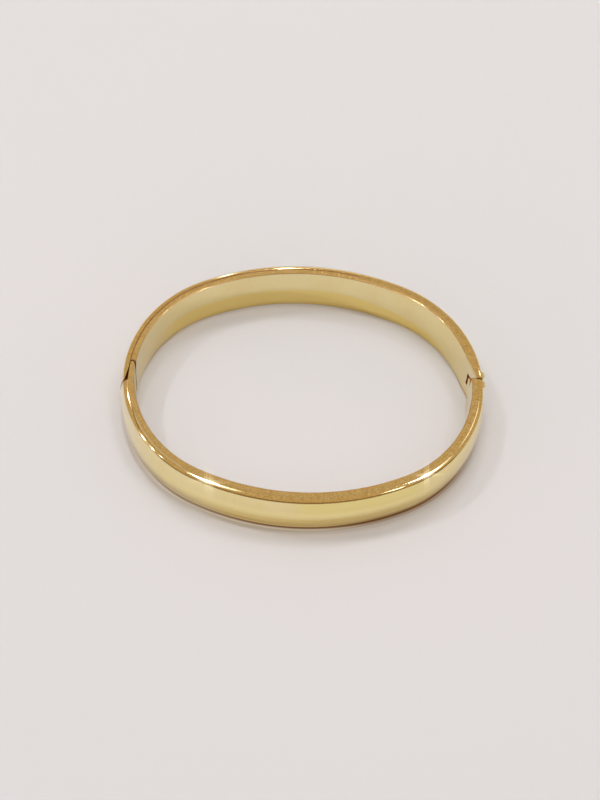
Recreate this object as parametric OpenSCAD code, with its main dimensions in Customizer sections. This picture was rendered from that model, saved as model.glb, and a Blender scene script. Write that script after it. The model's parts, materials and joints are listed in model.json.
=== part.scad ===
// Oval hinged bangle lying on its edge: two half bands, a hinge at the +X end and a tongue clasp at the -X end.
// Millimetres, +Z up. The origin is on the surface that it lies on, under the middle of the oval.

/* [Oval] */
// Inside length of the oval, along X
inner_length = 60; // [56:0.5:66]
// Inside width of the oval, along Y
inner_width = 46; // [44:0.5:50]
// Inside radius of the oval's two tight ends
end_radius = 21; // [20:0.25:21.5]

/* [Band] */
// Height of the band as it lies, which is its width on the wrist
band_height = 9.6; // [9:0.1:12]
// Wall thickness at the two flat edges
edge_thickness = 2; // [1.9:0.05:2.2]
// How far the outer face bulges past the edges, halfway up
dome = 0.6; // [0.4:0.05:0.8]
// Radius that breaks the two inner rims
rim_radius = 0.12; // [0.08:0.02:0.2]
// Depth of the inner strip, from the inner face to the soldered seam
seam_depth = 1; // [0.9:0.05:1.1]
// Width of the fine groove along the seam
seam_width = 0.08; // [0.06:0.02:0.12]
// Drop of the outer shell's rolled edge, from the seam to the outer rim
roll_drop = 0.45; // [0.3:0.05:0.6]
// Width of the crease between the rolled edge and the domed face
crease_width = 0.12; // [0.06:0.01:0.2]

/* [Split] */
// Turn of the line through both joints, away from the oval's long axis
split_turn = 2.4; // [0:0.1:4]
// Gap between the ends of the two halves
end_gap = 0.3; // [0.26:0.02:0.4]
// Radius that rounds the outer corners of the ends at the clasp
clasp_corner = 0.2; // [0.15:0.05:0.5]
// Radius that rounds the outer corners of the ends at the hinge
hinge_corner = 0.55; // [0.5:0.05:0.6]

/* [Clasp] */
// Reach of the tongue past the joint
tongue_length = 3.9; // [3:0.1:5]
// Thickness of the tongue
tongue_thickness = 0.86; // [0.7:0.02:0.88]
// Depth of the tongue's inner face below the inner face of the band, at the joint
tongue_depth = 0.3; // [0.2:0.01:0.32]
// Lean of the tongue inwards
tongue_lean = 7; // [7:0.25:8]
// Radius of the tongue's inner corner
tongue_corner = 0.6; // [0.5:0.05:0.65]
// How far the tongue stays below the edges of the band
tongue_inset = 0.05; // [0.03:0.02:0.07]
// Clearance round the tip of the tongue
tongue_clearance = 0.1; // [0.08:0.01:0.12]
// Length of the lip that laps over the tip's inner corner
lip_length = 0.35; // [0.32:0.01:0.36]
// Depth of the wall behind the tongue, at the joint
recess_depth = 1.62; // [1.5:0.01:1.65]
// Depth of the wall behind the tongue, near its tip
recess_tip_depth = 0.93; // [0.93:0.01:0.95]
// Distance from the joint over which the wall keeps its full depth
recess_throat = 0.5; // [0.4:0.05:0.8]
// Distance from the joint at which the wall reaches the depth near the tip
recess_taper = 2.8; // [2.7:0.05:3.2]
// Length of the ramp on the front half's inner corner, down to the tongue
shoulder_length = 0.8; // [0.5:0.05:1.2]

/* [Hinge] */
// Diameter of the hinge pin
pin_diameter = 0.6; // [0.5:0.05:0.7]
// Length of the hinge pin
pin_length = 6.4; // [6:0.1:6.6]
// Depth of the pin's axis from the inner face
pin_depth = 1.8; // [1.75:0.01:1.85]
// Radial clearance of the pin in the knuckles that turn on it
pin_running_fit = 0.05; // [0.03:0.01:0.08]
// Radial clearance of the pin in the knuckles that hold it
pin_seat_fit = 0.02; // [0.01:0.01:0.03]
// Radius of the bead on the outer corner of each end
bead_radius = 0.85; // [0.8:0.01:0.9]
// Depth of the bead's axis from the inner face
bead_depth = 1.62; // [1.58:0.01:1.65]
// How far the bead stays below the edges of the band
bead_drop = 0.3; // [0.26:0.01:0.36]
// Chamfer round both ends of the bead
bead_chamfer = 0.2; // [0.15:0.01:0.25]
// Diameter of the two outer knuckles
outer_knuckle_diameter = 1; // [0.9:0.05:1.1]
// Diameter of the middle knuckle
middle_knuckle_diameter = 1.3; // [1.2:0.05:1.4]
// Clearance round each knuckle in the other half
knuckle_clearance = 0.14; // [0.1:0.01:0.2]
// Height of the tab, centred in the band
tab_height = 3; // [2.6:0.1:3.2]
// Reach of the tab past the joint
tab_length = 2.1; // [1.8:0.1:2.4]
// Thickness of the tab
tab_thickness = 0.85; // [0.7:0.05:0.95]
// Length of the notch that the tab lies in
notch_length = 3.2; // [3:0.1:3.6]
// Depth of the notch
notch_depth = 1.15; // [1.1:0.05:1.3]
// Clearance above and below the tab
tab_clearance = 0.1; // [0.08:0.01:0.15]
// Depth of the bevel on the inner corner at the joint
bevel_depth = 0.95; // [0.8:0.05:1]
// Length of the bevel along the band
bevel_length = 6.2; // [5.6:0.1:6.4]

/* [Hidden] */
$fn = 96;
gold = [0.83, 0.68, 0.40];
steel = [0.70, 0.68, 0.62];

// The oval: two end arcs and two side arcs that meet with a common tangent
half_length = inner_length / 2;
half_width = inner_width / 2;
side_radius = (pow(half_length, 2) + pow(half_width, 2) - 2 * half_length * end_radius)
    / (2 * (half_width - end_radius));
end_centre = half_length - end_radius;
side_centre = side_radius - half_width;
end_turn = atan2(side_centre, end_centre);
tangent_point = [end_centre + end_radius * cos(end_turn), end_radius * sin(end_turn), 0];
// Each quarter runs past the oval's axes by this turn
overrun = 15;

// The section of the band, with x as the depth from the inner face
arc_steps = 360;
mid_height = band_height / 2;
roll_start = seam_depth + seam_width / 2;
roll_width = edge_thickness - roll_start;
roll_radius = (pow(roll_width, 2) + pow(roll_drop, 2)) / (2 * roll_drop);
roll_end = [edge_thickness, band_height - roll_drop];
crease_inset = 0.8 * crease_width;
crease_point = roll_end - [crease_inset, crease_width / 2];
dome_chord = mid_height - roll_drop - crease_width;
dome_radius = (pow(dome_chord, 2) + pow(dome, 2)) / (2 * dome);
full_thickness = edge_thickness + dome;

// Cutting solids and the untrimmed outline run past the band by this much
past = 1;
outline_end = crease_point + past * [1, -crease_width / 2 / crease_inset];
tab_floor = mid_height - tab_height / 2;
tab_roof = mid_height + tab_height / 2;
pin_floor = mid_height - pin_length / 2;
pin_axis = half_length + pin_depth;
// The outer knuckles run past the ends of the pin by this much
knuckle_end = 0.1;
// The tongue's root runs back into the front half by this much
tongue_root = 1.5;
// The bead's side passes the end face of its half by this much before it is cut there
bead_overlap = 0.03;

// Distance of the inner face from the middle, along the split line, at a height beside the hinge
function inner_face(beside) = end_centre * cos(split_turn)
    + sqrt(pow(end_radius, 2) - pow(beside + end_centre * sin(split_turn), 2));

function upper_outline() = [
    [0, band_height],
    [seam_depth - seam_width / 2, band_height],
    [seam_depth, band_height - seam_width],
    [roll_start, band_height],
    roll_end,
    crease_point,
    outline_end
];

function reversed(points) = [for (i = [len(points) - 1 : -1 : 0]) points[i]];

function lower_outline() = [for (p = reversed(upper_outline())) [p.x, band_height - p.y]];

// The rounded part of the rolled edge, above the chord between its two ends
module roll() {
    intersection() {
        translate([roll_start, band_height - roll_radius]) circle(r = roll_radius, $fn = arc_steps);
        polygon([[roll_start, band_height], roll_end, [edge_thickness, band_height]]);
    }
}

// What a rounded inner rim leaves out
module rim_cut() {
    corner = [rim_radius, band_height - rim_radius];
    difference() {
        translate([-past, corner.y]) square([past + rim_radius, rim_radius + past]);
        translate(corner) circle(r = rim_radius);
    }
}

module both_edges() {
    children();
    translate([0, band_height]) mirror([0, 1]) children();
}

// Cross-section of the band: flat inner face, flat strip edge, rolled shell edge, domed outer face
module section() {
    intersection() {
        difference() {
            union() {
                polygon(concat(upper_outline(), lower_outline()));
                both_edges() roll();
            }
            both_edges() rim_cut();
        }
        translate([full_thickness - dome_radius, mid_height]) circle(r = dome_radius, $fn = arc_steps);
    }
}

// One arc of the band, from the plane y = 0, where its inner face starts at the origin
module band_arc(radius, turn) {
    translate([-radius, 0, 0])
        rotate_extrude(angle = turn, $fn = arc_steps)
            translate([radius, 0]) section();
}

// The oval from its long axis to its short axis, and a little more past the long axis
module quarter_oval() {
    size = 2 * inner_length;
    difference() {
        translate(tangent_point) rotate([0, 0, end_turn]) {
            band_arc(side_radius, 90 - end_turn + overrun);
            mirror([0, 1, 0]) band_arc(end_radius, end_turn + overrun);
        }
        translate([-size, -size / 2, -past]) cube([size, size, band_height + 2 * past]);
    }
}

// Half of the oval on the +Y side, and a little more of both end arcs
module half_oval() {
    quarter_oval();
    mirror([1, 0, 0]) quarter_oval();
}

// Frame of the split line: x runs through both joints and y points to the back half
module on_split() {
    rotate([0, 0, split_turn]) children();
}

// Everything on the front side of the joint plane, moved back by half the end gap
module front_side() {
    size = 2 * inner_length;
    translate([-size / 2, -size + end_gap / 2, -past]) cube([size, size, band_height + 2 * past]);
}

// Cuts a rounded corner on the outer side of an end on the +X, +Y side of the joint
module corner_cut(radius) {
    centre = half_length + full_thickness - radius;
    difference() {
        translate([centre, 0, -past])
            cube([radius + past, end_gap / 2 + radius, band_height + 2 * past]);
        translate([centre, end_gap / 2 + radius, -2 * past])
            cylinder(r = radius, h = band_height + 4 * past);
    }
}

// Outline of the tongue, or of the room for it with some clearance
module tongue_plan(clearance) {
    length = tongue_length + clearance;
    corner = tongue_corner + clearance;
    centre = [tongue_corner, tongue_length - tongue_corner];
    difference() {
        translate([-clearance, -tongue_root])
            square([tongue_thickness + 2 * clearance, length + tongue_root]);
        difference() {
            translate([-clearance - past, centre.y]) square([corner + past, corner + past]);
            translate(centre) circle(r = corner);
        }
    }
}

module at_tongue() {
    translate([-half_length - tongue_depth, 0])
        rotate([0, 0, -tongue_lean])
            mirror([1, 0]) children();
}

// Soldered tongue of the front half, a straight strip that leans inwards
module tongue() {
    translate([0, 0, tongue_inset])
        linear_extrude(band_height - 2 * tongue_inset) at_tongue() tongue_plan(0);
}

// Opening of the back half's end for the tongue, open to the inside of the oval
module tongue_recess() {
    tip = tongue_length + tongue_clearance;
    translate([0, 0, -past]) linear_extrude(band_height + 2 * past) union() {
        at_tongue() tongue_plan(tongue_clearance);
        // The wall behind the tongue leaves a wedge that is wider at the joint
        polygon([
            [-half_length - recess_depth, -past],
            [-half_length - recess_depth, recess_throat],
            [-half_length - recess_tip_depth, recess_taper],
            [-half_length - recess_tip_depth, tip - tongue_corner],
            [-half_length + past, tip - lip_length],
            [-half_length + past, -past]
        ]);
    }
}

// Ramp that takes the front half's inner corner down to the tongue
module shoulder() {
    translate([0, 0, -past]) linear_extrude(band_height + 2 * past) polygon([
        [-half_length, -shoulder_length],
        [-half_length - tongue_depth, -end_gap / 2],
        [-half_length - tongue_depth, past],
        [-half_length + past, past],
        [-half_length + past, -shoulder_length]
    ]);
}

// A cylinder about the pin's axis between two heights
module about_pin(diameter, low, high) {
    translate([pin_axis, 0, low]) cylinder(d = diameter, h = high - low);
}

// The two knuckles of the back half, or the room for them
module outer_knuckles(diameter, clearance) {
    low = pin_floor - knuckle_end - clearance;
    high = tab_floor - tab_clearance + clearance;
    about_pin(diameter + 2 * clearance, low, high);
    about_pin(diameter + 2 * clearance, band_height - high, band_height - low);
}

// Notch on the inner side of the back half, with the room for the middle knuckle
module notch() {
    low = tab_floor - tab_clearance;
    high = tab_roof + tab_clearance;
    translate([half_length - past, -past, low])
        cube([notch_depth + past, notch_length + past, high - low]);
    about_pin(middle_knuckle_diameter + 2 * knuckle_clearance, low, high);
}

// Long bevel on the inner corner of the back half's end
module bevel() {
    translate([0, 0, -past]) linear_extrude(band_height + 2 * past) polygon([
        [half_length + bevel_depth, -past],
        [half_length + bevel_depth, end_gap / 2],
        [inner_face(bevel_length), bevel_length],
        [half_length - 2 * past, bevel_length],
        [half_length - 2 * past, -past]
    ]);
}

// Upright bead on the outer corner of the back half's end
module bead() {
    rim = bead_radius - bead_chamfer;
    top = band_height - bead_drop;
    translate([half_length + bead_depth, end_gap / 2 + bead_radius - bead_overlap, 0])
        rotate_extrude($fn = arc_steps) polygon([
            [0, bead_drop],
            [rim, bead_drop],
            [bead_radius, bead_drop + bead_chamfer],
            [bead_radius, top - bead_chamfer],
            [rim, top],
            [0, top]
        ]);
}

// Soldered tab of the front half, flush with the inner face
module tab() {
    translate([half_length, -past, tab_floor]) cube([tab_thickness, tab_length + past, tab_height]);
}

module back_half() {
    color(gold) on_split() difference() {
        union() {
            difference() {
                union() {
                    rotate([0, 0, -split_turn]) half_oval();
                    bead();
                }
                front_side();
                corner_cut(hinge_corner);
                mirror([1, 0, 0]) corner_cut(clasp_corner);
                tongue_recess();
                bevel();
            }
            outer_knuckles(outer_knuckle_diameter, 0);
        }
        notch();
        about_pin(pin_diameter + 2 * pin_seat_fit, pin_floor, band_height - pin_floor);
    }
}

module front_half() {
    color(gold) on_split() difference() {
        union() {
            difference() {
                union() {
                    rotate([0, 0, -split_turn]) mirror([0, 1, 0]) half_oval();
                    mirror([0, 1, 0]) bead();
                }
                mirror([0, 1, 0]) front_side();
                mirror([0, 1, 0]) corner_cut(hinge_corner);
                mirror([1, 0, 0]) mirror([0, 1, 0]) corner_cut(clasp_corner);
                shoulder();
                outer_knuckles(outer_knuckle_diameter, knuckle_clearance);
            }
            about_pin(middle_knuckle_diameter, tab_floor, tab_roof);
            tab();
            tongue();
        }
        about_pin(pin_diameter + 2 * pin_running_fit, tab_floor - past, tab_roof + past);
    }
}

module hinge_pin() {
    color(steel) on_split() about_pin(pin_diameter, pin_floor + pin_seat_fit, band_height - pin_floor - pin_seat_fit);
}

back_half();
front_half();
hinge_pin();
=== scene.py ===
import json
import math
from collections import namedtuple

import bpy
from mathutils import Matrix, Vector

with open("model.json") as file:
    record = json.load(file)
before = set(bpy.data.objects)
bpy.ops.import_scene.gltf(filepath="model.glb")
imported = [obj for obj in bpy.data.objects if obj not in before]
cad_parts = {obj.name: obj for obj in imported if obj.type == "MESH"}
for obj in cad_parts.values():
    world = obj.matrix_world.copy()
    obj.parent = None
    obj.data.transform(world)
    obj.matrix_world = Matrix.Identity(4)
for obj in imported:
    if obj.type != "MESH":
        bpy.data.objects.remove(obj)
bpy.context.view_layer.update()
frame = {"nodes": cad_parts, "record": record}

# Sizes and places are in millimetres, unless a comment says otherwise
MM = 0.001

# The band's inner face: end arcs about two points on the X axis, side arcs about two points on the Y axis
BAND_HEIGHT = 9.6
END_RADIUS = 21.0
END_CENTRE = 9.0
SIDE_RADIUS = 42.25
SIDE_CENTRE = 19.25
# The angle where the arcs meet, and the runs from the middle of a side to there and to the middle of an end
ARC_TURN = math.atan2(SIDE_CENTRE, END_CENTRE)
SIDE_RUN = (math.pi / 2 - ARC_TURN) * SIDE_RADIUS
QUARTER_RUN = SIDE_RUN + ARC_TURN * END_RADIUS

# The band's section: where its roll starts, counted from the inner face, the sine of the roll's tilt where
# it ends, and the radii of the roll, of the outer face's dome and of the inner rims
ROLL_START = 1.04
ROLL_END_TILT = 0.78
ROLL_RADIUS = 1.249
DOME_RADIUS = 15.211
RIM_RADIUS = 0.12
# A depth between the two faces, and the height over mid-band where both end
MID_WALL = 1.5
FACE_END = 4.34

# Camera
LENS_MM = 80.0
SENSOR_MM = 36.0
CLIP_M = (0.01, 50.0)
DISTANCE_MM = 324.244
PITCH_DEG = 57.84
YAW_DEG = -3.739
ROLL_DEG = 5.018
AIM_MM = (-0.258, 1.538, 0.0)

# Ceiling lamps, which light the floor and cast the soft shadows: each leans from the vertical by its slopes
# toward +X and +Y and gives a share of the floor's light
Lamp = namedtuple("Lamp", "name lean_x lean_y share")
LAMPS = (
    Lamp("overhead", 0.0, 0.09, 0.13),
    Lamp("right", 0.30, 0.0, 0.07),
    Lamp("back_near", -0.11, 0.28, 0.06),
    Lamp("back_far", -0.12, 0.39, 0.06),
    Lamp("back_right", 0.14, 0.39, 0.06),
    Lamp("left", -0.556, 0.224, 0.095),
    Lamp("left_far", -0.44, 0.69, 0.024),
    Lamp("front_left", -0.32, -0.24, 0.02),
    Lamp("wall", 0.015, 1.30, 0.003),
)
# How far away all the lamps stand, and the size of the ceiling lamps, in metres
LAMP_DISTANCE = 1.6
LAMP_SIZE = 0.05
LAMP_COLOUR = (0.97, 1.0, 1.08)
# What the floor would reflect if it were white, over pi
FLOOR_LIGHT = 0.86
# A wide sheet overhead for the rest of the floor's light, in metres
FILL_SIZE = 4.0
FILL_COLOUR = (0.06, 0.10, 0.18)

# Lamps that show only in the metal: each is where the band mirrors it to the camera at a place on its
# rolled edge, given by side, run from the middle of that side and depth from the inner face. Its length
# lies along the band. Length and width are in metres.
Glint = namedtuple("Glint", "name side run depth length width radiance")
GLINTS = (
    Glint("front_left", -1, -16.4, 1.52, 0.19, 0.46, 14.0),
    Glint("front_left_star", -1, -15.9, 1.52, 0.05, 0.24, 110.0),
    Glint("front_left_soft", -1, -15.5, 1.52, 0.36, 1.00, 0.9),
    Glint("left_end", -1, -37.7, 1.30, 0.05, 0.34, 16.0),
    Glint("dash_a", -1, -29.5, 1.80, 0.13, 0.24, 15.0),
    Glint("dash_b", -1, -26.9, 1.80, 0.06, 0.24, 15.0),
    Glint("dash_c", -1, -25.0, 1.80, 0.04, 0.20, 12.0),
    Glint("front_right", -1, 21.5, 1.50, 0.06, 0.30, 110.0),
    Glint("right_spot", -1, 18.7, 1.44, 0.02, 0.16, 60.0),
    Glint("right_streak", -1, 21.6, 1.55, 0.34, 0.30, 9.0),
    Glint("right_soft", -1, 23.0, 1.52, 0.50, 0.90, 0.9),
    Glint("right_line", -1, 34.0, 1.38, 0.45, 0.34, 1.0),
    Glint("right_near", -1, 15.4, 1.76, 0.16, 0.16, 9.0),
    Glint("back", 1, -3.4, 1.22, 0.014, 0.50, 34.0),
    Glint("back_left", 1, -14.2, 1.50, 0.05, 0.34, 14.0),
    Glint("back_soft", 1, 5.5, 1.60, 0.45, 0.50, 1.0),
    Glint("hinge", 1, 40.0, 1.60, 0.04, 0.16, 16.0),
)
# Cooler than the other lamps, so that the gold shows them nearly white
GLINT_COLOUR = (0.80, 1.0, 1.55)
# More of them for the sparks on the back half's inner rim, by their run on the front side and their length
SPARK_DEPTH = 2.02
SPARK_WIDTH = 0.25
SPARK_RADIANCE = 180.0
SPARKS = ((-21.1, 0.14), (-26.6, 0.07), (18.4, 0.10), (26.4, 0.06))

# The soft bloom and the small star round the brightest highlights
GLARES = (
    ("BLOOM", {"Threshold": 1.1, "Maximum": 12.0, "Strength": 0.1, "Size": 0.2, "Saturation": 0.5}),
    ("STREAKS", {"Threshold": 5.0, "Maximum": 20.0, "Strength": 0.5, "Iterations": 3, "Fade": 0.8}),
)

# The values below that are unpacked into Tree.smooth are a low end, a high end and, where they aren't 0 and
# 1, the results there. Those for Tree.window are the two ends and the soft distance outside. Those for
# Tree.noise are its scale, detail and roughness.

# The line through both joints is turned by this angle. Places are given along it (across) and square to it
# (past).
SPLIT_TURN_DEG = 2.4
# The places below are painted dark brown as shade inside the joints' gaps
# The walls at the ends of the two halves
END_WALL_PAST = 0.2
END_WALL_ACROSS = 30.95
END_WALL_TOP = 9.5
# The wedge between the leaning tongue and the wall behind it
WEDGE_LEAN = 0.1228
WEDGE_ACROSS = 31.12
WEDGE_WIDTH = (0.0, 0.6, 0.02)
WEDGE_PAST = (-0.3, 3.5, 0.4)
WEDGE_Z = (0.2, 9.45, 0.02)
# The notch beside the hinge
NOTCH_ACROSS = (30.3, 31.5, 0.05)
NOTCH_PAST = (-3.3, 3.3, 0.05)
NOTCH_Z = (3.1, 6.5, 0.02)
# The gap round the tongue's inner corner, painted dark as shade toward the upper edge
TIP_CENTRE = (-30.493, 3.349)
TIP_RADIUS = (0.50, 0.82, 0.02)
TIP_ACROSS = (-30.6, -29.0, 0.1)
TIP_PAST = (2.9, 3.3)
TIP_Z = (6.4, 8.8)

# The gold's parts, by height over mid-band, depth and run
EDGE_HEIGHT = (4.1, 4.2)
EDGE_DEPTH = (0.06, 1.9, 0.03)
STRIP_DEPTH = (1.0, 1.2, 1.0, 0.0)
RIM_HEIGHT = (4.62, 4.7)
RIM_DEPTH = (-0.1, 0.10, 0.05)
CREASE_DEPTH = (1.88, 1.98, 0.02)
CREASE_RUN = (-23.0, 26.0, 5.0)
GROOVE_DEPTH = (0.92, 1.06, 0.03)
LEVEL_RUN = (-22.0, 26.0, 4.0)
SEAM_RUN = (-39.5, 9.5, 2.0)
SHINE_DEPTH = (1.17, 1.28, 0.05)
SHINE_RUN = (-33.0, -23.0, 4.0)
# The streak's depth changes by this much per millimetre of run, from this depth at the middle of the side
STREAK_SLOPE = 0.1
STREAK_START = 4.7
STREAK_WIDTH = (0.04, 0.09, 1.0, 0.0)
STREAK_RUN = (-35.5, -31.5, 1.0)

# The gold's tints, and how far each covers what is under it
Tint = namedtuple("Tint", "colour strength")
# Painted reflection: a lighter band on the front's outer face
BRIGHT_REFLECTION = Tint((0.97, 0.83, 0.40), 0.8)
# Painted highlights: bright sparkle specks on the satin
SPARKLE_HIGHLIGHT = Tint((0.98, 0.90, 0.66), 0.7)
# Painted highlight: the fine bright line where the roll begins
SHINE_HIGHLIGHT = Tint((0.98, 0.90, 0.68), 0.7)
# Painted light: makes the front groove lighter to hide its shade
GROOVE_LIGHTENING = Tint((0.97, 0.75, 0.36), 0.6)
# Painted dark reflection along the inner rims
RIM_REFLECTION = Tint((0.56, 0.31, 0.09), 0.9)
# Painted shade in the crease at the roll's outer end
CREASE_SHADE = Tint((0.33, 0.165, 0.03), 0.95)
SEAM = Tint((0.28, 0.07, 0.015), 0.95)
# Painted shade: the dark streak on the roll near the clasp
STREAK_SHADE = Tint((0.22, 0.10, 0.03), 0.85)
# Painted shade inside the joints' gaps and round the tongue's tip
GAP_SHADE_COLOUR = (0.32, 0.10, 0.02)
TIP_SHADE_COLOUR = (0.18, 0.08, 0.02)

# The polished faces: waves, brushing, and stretches of other tones by run and z. The lighter band at mid
# height on the front, the pale left end and the deeper gold below are painted reflections of the floor.
POLISHED = (0.892, 0.753, 0.382)
POLISHED_LIGHT = (0.912, 0.784, 0.423)
WAVES = (160.0, 2.0, 0.5)
WAVE_CONTRAST = (0.35, 0.65)
BRUSHED = (0.85, 0.70, 0.33)
BRUSH = (1.0, 3.0, 0.6)
BRUSH_STRETCH = (3.0, 0.35)
BRUSH_CONTRAST = (0.5, 0.9)
YELLOW = (0.875, 0.745, 0.31)
YELLOW_RUN = (2.0, 18.0, 5.0)
BRIGHT_RUN = (-20.0, 20.0, 8.0)
BRIGHT_Z = (4.5, 5.6, 1.4)
# Painted reflection: paler gold at the front's left end, mirroring brighter floor
PALE_REFLECTION = (0.89, 0.80, 0.60)
PALE_RUN = (-24.0, -37.0, 0.0, 0.65)
# Painted reflection of the shaded floor next to the band: deeper gold over the lower part of both faces. At
# the back it ends at a line that falls toward the hinge.
DEEP_REFLECTION = (0.955, 0.76, 0.285)
DEEP_FRONT_RUN = (-10.0, 22.0, 10.0)
DEEP_FRONT_Z = (4.1, 4.6, 1.0, 0.0)
DEEP_BACK_RUN = (-24.0, 24.0, 8.0)
DEEP_LINE = (4.0, 26.0, 4.3, 2.4)
DEEP_LINE_WAVER = 0.3
DEEP_LINE_SOFT = (-0.3, 0.2, 1.0, 0.0)

# The satin edges: fine speckle, short strokes across the band and bright specks, which are painted sparkle
# highlights
SATIN_DARK = (0.75, 0.50, 0.155)
SATIN_LIGHT = (0.93, 0.70, 0.315)
GRAIN_CONTRAST = (0.35, 0.65)
SPECKLE = (3.6, 3.0, 0.7)
SPECKLE_SHARE = 0.6
STROKES = (1.4, 2.0, 0.6)
STROKE_STRETCH = (5.0, 0.8)
SPARKLES = (3500.0, 1.0, 0.5)
SPARKLE_CONTRAST = (0.68, 0.76)

# Roughness of the polished gold, and what the other parts add to it
POLISHED_ROUGHNESS = 0.07
STRIP_ROUGHNESS = 0.12
SEAM_ROUGHNESS = 0.3
PEEL = (900.0, 2.0, 0.5)
PEEL_ROUGHNESS = 0.03
LINE_ROUGHNESS = 0.1
GAP_ROUGHNESS = 0.4
# A Principled shader's usual specular level
SPECULAR = 0.5
# Relief: its distance in metres and its strength. At the back the strip's grain keeps this share of it.
GRAIN_RELIEF = (0.00002, 0.5)
WAVE_RELIEF = (0.00001, 0.25)
BACK_GRAIN = 0.2
# The mesh's own direction gives way to the exact one where the cosine between them is in this range
AGREEMENT = (0.88, 0.94)

PIN_DARK = (0.56, 0.54, 0.50)
PIN_LIGHT = (0.68, 0.66, 0.60)
PIN_GRAIN = (2500.0, 2.0, 0.6)
PIN_ROUGHNESS = 0.25
PIN_GRAIN_ROUGHNESS = 0.1

# Floor. Its half size is in metres.
FLOOR_HALF_SIZE = 3.0
FLOOR_DARK = (0.732, 0.715, 0.695)
FLOOR_PALE = (0.765, 0.735, 0.715)
FLOOR_ROUGHNESS = 0.6
CLOUDS = (7.0, 3.0, 0.5)
CLOUD_CONTRAST = (0.35, 0.65)
# Painted falloff of the light: a shade darker away from the object and toward the front left
FAR_SHADE_COLOUR = (0.75, 0.73, 0.71)
FAR_DEPTH = (0.0, 60.0)
CORNER_SHADE_COLOUR = (0.735, 0.72, 0.71)
CORNER_SLOPE = 0.4
CORNER_RANGE = (20.0, -90.0, 0.0, 0.5)
# The shade of the front of the band, brown where it meets the floor and darkest toward the right
SHADE_START = 1.0
SHADED_RUN_LEFT = (-34.0, 4.0, 0.1, 1.0)
SHADED_RUN_RIGHT = (26.0, 36.0, 1.0, 0.2)
SHADE_COLOUR = (0.50, 0.455, 0.44)
SHADE_DEPTH = (2.8, 6.0, 0.15, 0.0)
CONTACT_COLOUR = (0.34, 0.16, 0.065)
CONTACT_INNER = (1.95, 2.1, 0.5, 0.0)
CONTACT_OUTER_DEPTH = (2.3, 2.6)
CONTACT_OUTER_RUN = (2.0, 14.0, 0.28, 0.6)
# The light that the outer face throws back on the floor
THROWN_COLOUR = (1.0, 0.84, 0.54)
THROWN_NEAR = (2.2, 2.5, 0.22, 0.0)
THROWN_WIDE = (2.9, 4.3, 0.05, 0.0)
THROWN_START = (1.8, 2.2)
THROWN_RUN_LEFT = (-40.0, -14.0, 0.4, 1.0)
THROWN_RUN_MIDDLE = (2.0, 14.0, 1.0, 0.4)
THROWN_RUN_RIGHT = (26.0, 34.0, 1.0, 0.2)

# The room, and the dark shape of whoever stands in front, low over the floor
ROOM_COLOUR = (0.545, 0.455, 0.345)
VIEWER_COLOUR = (0.02, 0.015, 0.01)
VIEWER_WAY = Vector((0.38, -0.90, 0.15)).normalized()
VIEWER_EDGE = (0.6, 0.9)
VIEWER_HEIGHT = (0.2, 0.4, 0.85, 0.0)

X_AXIS = Vector((1, 0, 0))
Z_AXIS = Vector((0, 0, 1))


def camera_back():
    """The direction from the aim to the camera."""
    pitch, yaw = math.radians(PITCH_DEG), math.radians(YAW_DEG)
    return Vector((math.sin(yaw) * math.cos(pitch), -math.cos(yaw) * math.cos(pitch), math.sin(pitch)))


def camera_place():
    return (Vector(AIM_MM) + camera_back() * DISTANCE_MM) * MM


def add_camera():
    back = camera_back()
    roll = math.radians(ROLL_DEG)
    side = Z_AXIS.cross(back).normalized()
    up = back.cross(side)
    right = math.cos(roll) * side + math.sin(roll) * up
    top = math.cos(roll) * up - math.sin(roll) * side
    data = bpy.data.cameras.new("camera")
    data.lens = LENS_MM
    data.sensor_width = SENSOR_MM
    data.clip_start, data.clip_end = CLIP_M
    camera = bpy.data.objects.new("camera", data)
    bpy.context.scene.collection.objects.link(camera)
    turn = Matrix((right, top, back)).transposed().to_4x4()
    camera.matrix_world = Matrix.Translation(camera_place()) @ turn
    bpy.context.scene.camera = camera


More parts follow.
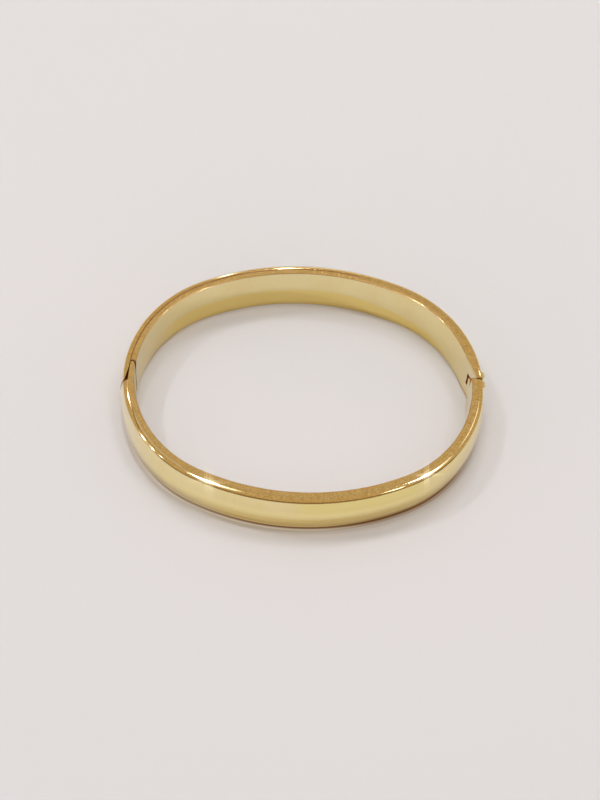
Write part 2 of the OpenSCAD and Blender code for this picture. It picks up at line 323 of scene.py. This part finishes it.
class Tree:
    """A node tree, built with short calls."""

    def __init__(self, tree):
        self.nodes = tree.nodes
        self.links = tree.links
        self.nodes.clear()

    def put(self, value, socket):
        """Link or set a socket. None leaves it as it is."""
        if isinstance(value, bpy.types.NodeSocket):
            self.links.new(value, socket)
        elif value is not None:
            socket.default_value = (*value, 1.0) if socket.type == "RGBA" else value

    def math(self, operation, a, b=None, c=None):
        node = self.nodes.new("ShaderNodeMath")
        node.operation = operation
        for value, socket in zip((a, b, c), node.inputs):
            self.put(value, socket)
        return node.outputs[0]

    def add(self, a, b):
        return self.math("ADD", a, b)

    def minus(self, a, b):
        return self.math("SUBTRACT", a, b)

    def times(self, a, b):
        return self.math("MULTIPLY", a, b)

    def times_add(self, value, factor, offset):
        return self.math("MULTIPLY_ADD", value, factor, offset)

    def product(self, first, *others):
        for other in others:
            first = self.times(first, other)
        return first

    def size(self, value):
        return self.math("ABSOLUTE", value)

    def clamp(self, value, low, high):
        return self.math("MINIMUM", self.math("MAXIMUM", value, low), high)

    def smooth(self, value, low, high, start=0.0, end=1.0):
        """A soft step from start at the low end to end at the high end."""
        node = self.nodes.new("ShaderNodeMapRange")
        node.interpolation_type = "SMOOTHSTEP"
        for item, socket in zip((value, low, high, start, end), node.inputs):
            self.put(item, socket)
        return node.outputs[0]

    def window(self, value, low, high, soft):
        """1 between low and high, fading to 0 over the soft distance outside."""
        rise = self.smooth(value, low - soft, low)
        fall = self.smooth(value, high, high + soft, 1.0, 0.0)
        return self.times(rise, fall)

    def noise(self, vector, scale, detail, rough):
        node = self.nodes.new("ShaderNodeTexNoise")
        self.put(vector, node.inputs["Vector"])
        node.inputs["Scale"].default_value = scale
        node.inputs["Detail"].default_value = detail
        node.inputs["Roughness"].default_value = rough
        return node.outputs["Fac"]

    def combine(self, x, y, z):
        node = self.nodes.new("ShaderNodeCombineXYZ")
        for value, socket in zip((x, y, z), node.inputs):
            self.put(value, socket)
        return node.outputs[0]

    def split(self, vector):
        node = self.nodes.new("ShaderNodeSeparateXYZ")
        self.put(vector, node.inputs[0])
        return node.outputs

    def vector(self, operation, a, b=None):
        node = self.nodes.new("ShaderNodeVectorMath")
        node.operation = operation
        for value, socket in zip((a, b), node.inputs):
            self.put(value, socket)
        return node.outputs["Value" if operation in ("DOT_PRODUCT", "LENGTH") else "Vector"]

    def mix(self, factor, a, b, kind="RGBA"):
        """From a where the factor is 0 to b where it is 1. The kind is RGBA or VECTOR."""
        node = self.nodes.new("ShaderNodeMix")
        node.data_type = kind
        self.put(factor, node.inputs[0])
        for value, name in ((a, "A"), (b, "B")):
            self.put(value, next(s for s in node.inputs if s.name == name and s.type == kind))
        return next(s for s in node.outputs if s.type == kind)

    def tint(self, base, *layers):
        """The base colour with pairs of a mask and a tint laid over it, each over the ones before."""
        for mask, tint in layers:
            base = self.mix(self.times(mask, tint.strength), base, tint.colour)
        return base

    def bump(self, height, distance, strength, normal):
        node = self.nodes.new("ShaderNodeBump")
        node.inputs["Strength"].default_value = strength
        node.inputs["Distance"].default_value = distance
        self.put(height, node.inputs["Height"])
        self.put(normal, node.inputs["Normal"])
        return node.outputs[0]


class MaterialTree(Tree):
    """The node tree of a new material with one Principled shader."""

    def __init__(self, name):
        self.material = bpy.data.materials.new(name)
        self.material.use_nodes = True
        super().__init__(self.material.node_tree)
        out = self.nodes.new("ShaderNodeOutputMaterial")
        self.shader = self.nodes.new("ShaderNodeBsdfPrincipled")
        self.links.new(self.shader.outputs[0], out.inputs["Surface"])

    def set(self, name, value):
        self.put(value, self.shader.inputs[name])


Oval = namedtuple("Oval", "place depth run x y z out")


def oval_coordinates(tree, piece=None):
    """Where a shaded point is on the oval, in the frame of a piece or of the surface's own object.

    The place is in metres. The depth from the inner face, the run from the middle of the side, x, y and z
    are in millimetres. The way out of the oval is a unit vector's x and y.
    """
    coordinates = tree.nodes.new("ShaderNodeTexCoord")
    coordinates.object = piece
    place = coordinates.outputs["Object"]
    x, y, z = (tree.times(s, 1 / MM) for s in tree.split(place))

    # All is worked out for one quarter of the oval, seen from the centres of its two arcs
    quarter_x = tree.size(x)
    quarter_y = tree.size(y)
    end_x = tree.minus(quarter_x, END_CENTRE)
    side_y = tree.add(quarter_y, SIDE_CENTRE)
    past = tree.minus(tree.times(end_x, math.sin(ARC_TURN)), tree.times(quarter_y, math.cos(ARC_TURN)))
    at_end = tree.math("GREATER_THAN", past, 0.0)

    def length(across, along):
        return tree.math("SQRT", tree.add(tree.times(across, across), tree.times(along, along)))

    def either(end, side):
        return tree.times_add(at_end, tree.minus(end, side), side)

    end_length = length(end_x, quarter_y)
    side_length = length(quarter_x, side_y)
    depth = either(tree.add(end_length, -END_RADIUS), tree.add(side_length, -SIDE_RADIUS))
    end_run = tree.times(tree.math("ARCTAN2", quarter_y, end_x), END_RADIUS)
    side_angle = tree.math("ARCTAN2", side_y, quarter_x)
    side_run = tree.times_add(side_angle, SIDE_RADIUS, ARC_TURN * (END_RADIUS - SIDE_RADIUS))
    run = tree.times(tree.math("SIGN", x), tree.minus(QUARTER_RUN, either(end_run, side_run)))
    out_x = either(tree.math("DIVIDE", end_x, end_length), tree.math("DIVIDE", quarter_x, side_length))
    out_y = either(tree.math("DIVIDE", quarter_y, end_length), tree.math("DIVIDE", side_y, side_length))
    out = (tree.times(out_x, tree.math("SIGN", x)), tree.times(out_y, tree.math("SIGN", y)))
    return Oval(place, depth, run, x, y, z, out)


def true_normal(tree, oval, groove):
    """The exact direction of the edges, the groove and both faces, and the mesh's own one elsewhere."""
    up = tree.add(oval.z, -BAND_HEIGHT / 2)
    out_x, out_y = oval.out

    def other_part(part):
        """The other of a unit vector's two parts."""
        return tree.math("SQRT", tree.minus(1.0, tree.times(part, part)))

    def direction(outward, upward):
        return tree.combine(tree.times(out_x, outward), tree.times(out_y, outward), upward)

    # The edges lean inwards over the inner rim and outwards over the roll, and lie flat between them
    roll = tree.clamp(tree.times(tree.add(oval.depth, -ROLL_START), 1 / ROLL_RADIUS), 0.0, ROLL_END_TILT)
    rim = tree.clamp(tree.times_add(oval.depth, -1 / RIM_RADIUS, 1.0), 0.0, 1.0)
    lean = tree.minus(roll, rim)
    edge = direction(lean, tree.times(other_part(lean), tree.math("SIGN", up)))
    rise = tree.times(up, 1 / DOME_RADIUS)
    outer = direction(other_part(rise), rise)
    inner = direction(-1.0, 0.0)
    normal = tree.mix(tree.math("GREATER_THAN", oval.depth, MID_WALL), inner, outer, "VECTOR")
    normal = tree.mix(tree.math("GREATER_THAN", tree.size(up), FACE_END), normal, edge, "VECTOR")

    own = tree.nodes.new("ShaderNodeTexCoord").outputs["Normal"]
    agree = tree.smooth(tree.vector("DOT_PRODUCT", normal, own), *AGREEMENT)
    normal = tree.mix(tree.math("MAXIMUM", agree, groove), own, normal, "VECTOR")
    node = tree.nodes.new("ShaderNodeVectorTransform")
    node.vector_type = "NORMAL"
    node.convert_from = "OBJECT"
    node.convert_to = "WORLD"
    tree.put(normal, node.inputs[0])
    return tree.vector("NORMALIZE", node.outputs[0])


def joint_gaps(tree, oval):
    """Two masks for painted shade: the walls inside the clasp's and the hinge's gaps, and the gap round the
    tongue's tip.
    """
    turn = math.radians(SPLIT_TURN_DEG)
    across = tree.add(tree.times(oval.x, math.cos(turn)), tree.times(oval.y, math.sin(turn)))
    past = tree.minus(tree.times(oval.y, math.cos(turn)), tree.times(oval.x, math.sin(turn)))

    ends = tree.product(
        tree.math("LESS_THAN", tree.size(past), END_WALL_PAST),
        tree.math("GREATER_THAN", tree.size(across), END_WALL_ACROSS),
        tree.math("LESS_THAN", oval.z, END_WALL_TOP),
    )
    behind = tree.times_add(past, WEDGE_LEAN, tree.times_add(across, -1.0, -WEDGE_ACROSS))
    wedge = tree.product(
        tree.window(behind, *WEDGE_WIDTH),
        tree.window(past, *WEDGE_PAST),
        tree.window(oval.z, *WEDGE_Z),
    )
    notch = tree.product(
        tree.window(across, *NOTCH_ACROSS),
        tree.window(past, *NOTCH_PAST),
        tree.window(oval.z, *NOTCH_Z),
    )
    away = tree.combine(tree.minus(across, TIP_CENTRE[0]), tree.minus(past, TIP_CENTRE[1]), 0.0)
    tip = tree.product(
        tree.window(tree.vector("LENGTH", away), *TIP_RADIUS),
        tree.window(across, *TIP_ACROSS),
        tree.smooth(past, *TIP_PAST),
        tree.smooth(oval.z, *TIP_Z),
    )
    return tree.math("MAXIMUM", ends, tree.math("MAXIMUM", wedge, notch)), tip


Parts = namedtuple("Parts", "front back faces edge strip rim crease groove level seam shine streak")


def gold_parts(tree, oval):
    """1 on each part of the gold and 0 elsewhere."""
    depth, run = oval.depth, oval.run
    front = tree.math("LESS_THAN", oval.y, 0.0)
    back = tree.minus(1.0, front)
    height = tree.size(tree.minus(oval.z, BAND_HEIGHT / 2))
    at_edge = tree.smooth(height, *EDGE_HEIGHT)
    edge = tree.times(at_edge, tree.window(depth, *EDGE_DEPTH))
    groove = tree.times(at_edge, tree.window(depth, *GROOVE_DEPTH))
    from_streak = tree.size(tree.minus(depth, tree.times_add(run, STREAK_SLOPE, STREAK_START)))
    streak = tree.times(tree.smooth(from_streak, *STREAK_WIDTH), tree.window(run, *STREAK_RUN))
    return Parts(
        front=front,
        back=back,
        # Polished, between the two edges
        faces=tree.minus(1.0, at_edge),
        # Satin: the strip, and the roll outside it
        edge=edge,
        strip=tree.times(edge, tree.smooth(depth, *STRIP_DEPTH)),
        # The inner rims, which carry a painted dark reflection
        rim=tree.times(tree.smooth(height, *RIM_HEIGHT), tree.window(depth, *RIM_DEPTH)),
        # The crease, which carries a painted shade line
        crease=tree.product(at_edge, tree.window(depth, *CREASE_DEPTH), tree.window(run, *CREASE_RUN)),
        # The groove between strip and roll: painted lighter at the front to hide its shade, a dark seam at
        # the back
        groove=groove,
        level=tree.product(groove, front, tree.window(run, *LEVEL_RUN)),
        seam=tree.product(groove, back, tree.window(run, *SEAM_RUN)),
        # A painted highlight: a fine bright line where the roll begins, near the clasp
        shine=tree.product(at_edge, front, tree.window(run, *SHINE_RUN), tree.window(depth, *SHINE_DEPTH)),
        # A dark streak of painted shade on the roll near the clasp, which draws away from the seam
        streak=tree.product(streak, front, at_edge),
    )


def polished_colour(tree, oval, parts, waves):
    run, z = oval.run, oval.z
    run_stretch, z_stretch = BRUSH_STRETCH
    stretched = tree.combine(tree.times(run, run_stretch), oval.depth, tree.times(z, z_stretch))
    brush = tree.noise(stretched, *BRUSH)
    colour = tree.mix(tree.smooth(waves, *WAVE_CONTRAST), POLISHED, POLISHED_LIGHT)
    colour = tree.mix(tree.smooth(brush, *BRUSH_CONTRAST), colour, BRUSHED)
    colour = tree.mix(tree.times(parts.front, tree.window(run, *YELLOW_RUN)), colour, YELLOW)
    # Painted reflection: a lighter band at mid height of the front's outer face
    bright = tree.product(parts.front, tree.window(run, *BRIGHT_RUN), tree.window(z, *BRIGHT_Z))
    colour = tree.tint(colour, (bright, BRIGHT_REFLECTION))
    # Painted reflection: paler gold at the front's left end
    colour = tree.mix(tree.times(parts.front, tree.smooth(run, *PALE_RUN)), colour, PALE_REFLECTION)

    # Painted reflection of the shaded floor: deeper gold over the lower faces, below a line at the back
    line = tree.add(tree.smooth(run, *DEEP_LINE), tree.times(waves, DEEP_LINE_WAVER))
    under = tree.smooth(tree.minus(z, line), *DEEP_LINE_SOFT)
    deep_front = tree.product(parts.front, tree.window(run, *DEEP_FRONT_RUN), tree.smooth(z, *DEEP_FRONT_Z))
    deep_back = tree.product(parts.back, tree.window(run, *DEEP_BACK_RUN), under)
    return tree.mix(tree.add(deep_front, deep_back), colour, DEEP_REFLECTION)


def satin_grain(tree, oval):
    """Speckle mixed with short strokes across the band."""
    run, depth, z = oval.run, oval.depth, oval.z
    speckle = tree.noise(tree.combine(run, depth, z), *SPECKLE)
    run_stretch, depth_stretch = STROKE_STRETCH
    stretched = tree.combine(tree.times(run, run_stretch), tree.times(depth, depth_stretch), z)
    strokes = tree.noise(stretched, *STROKES)
    return tree.add(tree.times(speckle, SPECKLE_SHARE), tree.times(strokes, 1 - SPECKLE_SHARE))


def satin_colour(tree, oval, parts, grain):
    # Painted sparkle highlights
    specks = tree.smooth(tree.noise(oval.place, *SPARKLES), *SPARKLE_CONTRAST)
    colour = tree.mix(tree.smooth(grain, *GRAIN_CONTRAST), SATIN_DARK, SATIN_LIGHT)
    # The painted highlight line near the clasp, and the front groove painted lighter to hide its shade
    return tree.tint(colour, (specks, SPARKLE_HIGHLIGHT), (parts.shine, SHINE_HIGHLIGHT), (parts.level, GROOVE_LIGHTENING))


def gold_material():
    tree = MaterialTree("gold")
    oval = oval_coordinates(tree)
    parts = gold_parts(tree, oval)
    gap, tip = joint_gaps(tree, oval)
    grain = satin_grain(tree, oval)
    waves = tree.noise(oval.place, *WAVES)

    polished = polished_colour(tree, oval, parts, waves)
    satin = satin_colour(tree, oval, parts, grain)
    colour = tree.mix(parts.edge, polished, satin)
    # Dark lines: a painted dark reflection on the inner rims, painted shade on the crease and the streak,
    # and the dark seam
    lines = ((parts.rim, RIM_REFLECTION), (parts.crease, CREASE_SHADE), (parts.seam, SEAM), (parts.streak, STREAK_SHADE))
    colour = tree.tint(colour, *lines)
    # Painted shade inside the joints' gaps and round the tongue's tip
    colour = tree.mix(gap, colour, GAP_SHADE_COLOUR)
    tree.set("Base Color", tree.mix(tip, colour, TIP_SHADE_COLOUR))

    gap = tree.math("MAXIMUM", gap, tip)
    rough = POLISHED_ROUGHNESS
    for mask, more in (
        (parts.strip, STRIP_ROUGHNESS),
        (parts.seam, SEAM_ROUGHNESS),
        (tree.noise(oval.place, *PEEL), PEEL_ROUGHNESS),
        (tree.add(parts.crease, parts.rim), LINE_ROUGHNESS),
        (gap, GAP_ROUGHNESS),
    ):
        rough = tree.times_add(mask, more, rough)
    tree.set("Roughness", rough)
    # The painted shade in the gaps is dull, not metal
    tree.set("Metallic", tree.times_add(gap, -1.0, 1.0))
    tree.set("Specular IOR Level", tree.smooth(gap, 0.0, 1.0, SPECULAR, 0.0))

    normal = true_normal(tree, oval, parts.groove)
    grain_depth = tree.times(parts.strip, tree.times_add(parts.front, 1 - BACK_GRAIN, BACK_GRAIN))
    normal = tree.bump(tree.times(grain, grain_depth), *GRAIN_RELIEF, normal)
    tree.set("Normal", tree.bump(tree.times(waves, parts.faces), *WAVE_RELIEF, normal))
    return tree.material


def pin_material():
    tree = MaterialTree("pin")
    place = tree.nodes.new("ShaderNodeTexCoord").outputs["Object"]
    grain = tree.noise(place, *PIN_GRAIN)
    tree.set("Base Color", tree.mix(grain, PIN_DARK, PIN_LIGHT))
    tree.set("Roughness", tree.times_add(grain, PIN_GRAIN_ROUGHNESS, PIN_ROUGHNESS))
    tree.set("Metallic", 1.0)
    return tree.material


def floor_material():
    tree = MaterialTree("floor")
    # The shade and the thrown light follow the front half when it opens
    oval = oval_coordinates(tree, frame["nodes"]["front_half"])
    depth, run = oval.depth, oval.run
    clouds = tree.smooth(tree.noise(oval.place, *CLOUDS), *CLOUD_CONTRAST)
    colour = tree.mix(clouds, FLOOR_DARK, FLOOR_PALE)
    # Painted falloff of the light, darker away from the object and toward the front left
    colour = tree.mix(tree.smooth(depth, *FAR_DEPTH), colour, FAR_SHADE_COLOUR)
    toward_corner = tree.times_add(oval.x, CORNER_SLOPE, oval.y)
    colour = tree.mix(tree.smooth(toward_corner, *CORNER_RANGE), colour, CORNER_SHADE_COLOUR)

    front = tree.math("LESS_THAN", oval.y, 0.0)
    shaded = tree.product(
        front,
        tree.smooth(run, *SHADED_RUN_LEFT),
        tree.smooth(run, *SHADED_RUN_RIGHT),
        tree.math("GREATER_THAN", depth, SHADE_START),
    )
    colour = tree.mix(tree.times(shaded, tree.smooth(depth, *SHADE_DEPTH)), colour, SHADE_COLOUR)
    outer = tree.smooth(depth, *CONTACT_OUTER_DEPTH, tree.smooth(run, *CONTACT_OUTER_RUN), 0.0)
    contact = tree.times(shaded, tree.add(tree.smooth(depth, *CONTACT_INNER), outer))
    tree.set("Base Color", tree.mix(contact, colour, CONTACT_COLOUR))

    thrown = tree.product(
        tree.add(tree.smooth(depth, *THROWN_NEAR), tree.smooth(depth, *THROWN_WIDE)),
        tree.smooth(depth, *THROWN_START),
        tree.smooth(run, *THROWN_RUN_LEFT),
        tree.smooth(run, *THROWN_RUN_MIDDLE),
        tree.smooth(run, *THROWN_RUN_RIGHT),
        front,
    )
    tree.set("Emission Color", THROWN_COLOUR)
    tree.set("Emission Strength", thrown)
    tree.set("Roughness", FLOOR_ROUGHNESS)
    tree.set("Specular IOR Level", 0.0)
    return tree.material


def add_floor():
    half = FLOOR_HALF_SIZE
    mesh = bpy.data.meshes.new("floor")
    corners = [(-half, -half, 0), (half, -half, 0), (half, half, 0), (-half, half, 0)]
    mesh.from_pydata(corners, [], [(0, 1, 2, 3)])
    floor = bpy.data.objects.new("floor", mesh)
    bpy.context.scene.collection.objects.link(floor)
    mesh.materials.append(floor_material())


def add_world():
    world = bpy.data.worlds.new("world")
    world.use_nodes = True
    bpy.context.scene.world = world
    tree = Tree(world.node_tree)
    out = tree.nodes.new("ShaderNodeOutputWorld")
    background = tree.nodes.new("ShaderNodeBackground")
    tree.links.new(background.outputs[0], out.inputs["Surface"])
    way = tree.nodes.new("ShaderNodeTexCoord").outputs["Generated"]
    viewer = tree.smooth(tree.vector("DOT_PRODUCT", way, VIEWER_WAY), *VIEWER_EDGE)
    viewer = tree.times(viewer, tree.smooth(tree.split(way)["Z"], *VIEWER_HEIGHT))
    tree.put(tree.mix(viewer, ROOM_COLOUR, VIEWER_COLOUR), background.inputs["Color"])


def add_light(name, place, aim, along, size, power, colour):
    """An elliptical lamp of two sizes, the first of them along the given direction."""
    data = bpy.data.lights.new(name, "AREA")
    data.shape = "ELLIPSE"
    data.size, data.size_y = size
    data.energy = power
    data.color = colour
    light = bpy.data.objects.new(name, data)
    bpy.context.scene.collection.objects.link(light)
    back = (place - aim).normalized()
    up = back.cross(along).normalized()
    turn = Matrix((up.cross(back), up, back)).transposed().to_4x4()
    light.matrix_world = Matrix.Translation(place) @ turn
    return light


def add_lamp(lamp):
    direction = Vector((lamp.lean_x, lamp.lean_y, 1.0)).normalized()
    power = lamp.share * FLOOR_LIGHT * (math.pi * LAMP_DISTANCE) ** 2 / direction.z
    place = direction * LAMP_DISTANCE
    light = add_light(lamp.name, place, Vector(), X_AXIS, (LAMP_SIZE, LAMP_SIZE), power, LAMP_COLOUR)
    light.visible_glossy = False


def add_fill():
    radius_squared = (FILL_SIZE / 2) ** 2
    # The share of the floor's sky that the sheet covers
    cover = radius_squared / (radius_squared + LAMP_DISTANCE ** 2)
    power = math.pi * math.pi * radius_squared / cover
    place = Z_AXIS * LAMP_DISTANCE
    light = add_light("fill", place, Vector(), X_AXIS, (FILL_SIZE, FILL_SIZE), power, FILL_COLOUR)
    light.visible_glossy = False


def on_roll(side, run, depth):
    """A place on the rolled edge, in metres, the normal there and the band's direction."""
    if abs(run) < SIDE_RUN:
        angle = abs(run) / SIDE_RADIUS
        centre = Vector((0, -SIDE_CENTRE, 0))
        radius = SIDE_RADIUS
    else:
        angle = SIDE_RUN / SIDE_RADIUS + (abs(run) - SIDE_RUN) / END_RADIUS
        centre = Vector((END_CENTRE, 0, 0))
        radius = END_RADIUS
    out = Vector((math.sin(angle), math.cos(angle), 0))
    place = centre + out * (radius + depth) + Z_AXIS * BAND_HEIGHT
    flip = Vector((math.copysign(1, run), side, 1))
    tilt = math.asin((depth - ROLL_START) / ROLL_RADIUS)
    normal = math.sin(tilt) * out * flip + Z_AXIS * math.cos(tilt)
    return place * flip * MM, normal, Z_AXIS.cross(out * flip)


def add_glint(glint):
    place, normal, along = on_roll(glint.side, glint.run, glint.depth)
    view = (camera_place() - place).normalized()
    direction = 2 * view.dot(normal) * normal - view
    area = math.pi * glint.length * glint.width / 4
    power = math.pi * area * glint.radiance
    lamp_place = place + direction * LAMP_DISTANCE
    size = (glint.length, glint.width)
    light = add_light(glint.name + "_glint", lamp_place, place, along, size, power, GLINT_COLOUR)
    # Seen in the metal only, and the metal doesn't pass it on to the floor
    light.visible_diffuse = False
    light.data.cycles.max_bounces = 0


def add_glare():
    scene = bpy.context.scene
    scene.use_nodes = True
    tree = Tree(scene.node_tree)
    picture = tree.nodes.new("CompositorNodeRLayers").outputs["Image"]
    for kind, values in GLARES:
        node = tree.nodes.new("CompositorNodeGlare")
        node.glare_type = kind
        node.quality = "HIGH"
        node.inputs["Clamp"].default_value = True
        for name, value in values.items():
            node.inputs[name].default_value = value
        tree.put(picture, node.inputs["Image"])
        picture = node.outputs["Image"]
    tree.put(picture, tree.nodes.new("CompositorNodeComposite").inputs["Image"])


def dress():
    made = {"gold": gold_material(), "pin": pin_material()}
    slots = {s["node"]: s["material_slot"] for s in frame["record"]["subparts"]}
    for name, node in frame["nodes"].items():
        for slot in node.material_slots:
            slot.material = made[slots[name]]


add_camera()
add_floor()
add_world()
for lamp in LAMPS:
    add_lamp(lamp)
add_fill()
for glint in GLINTS:
    add_glint(glint)
for number, (run, length) in enumerate(SPARKS):
    add_glint(Glint("spark_%d" % number, -1, run, SPARK_DEPTH, length, SPARK_WIDTH, SPARK_RADIANCE))
dress()
add_glare()
bpy.context.scene.view_settings.view_transform = "Standard"
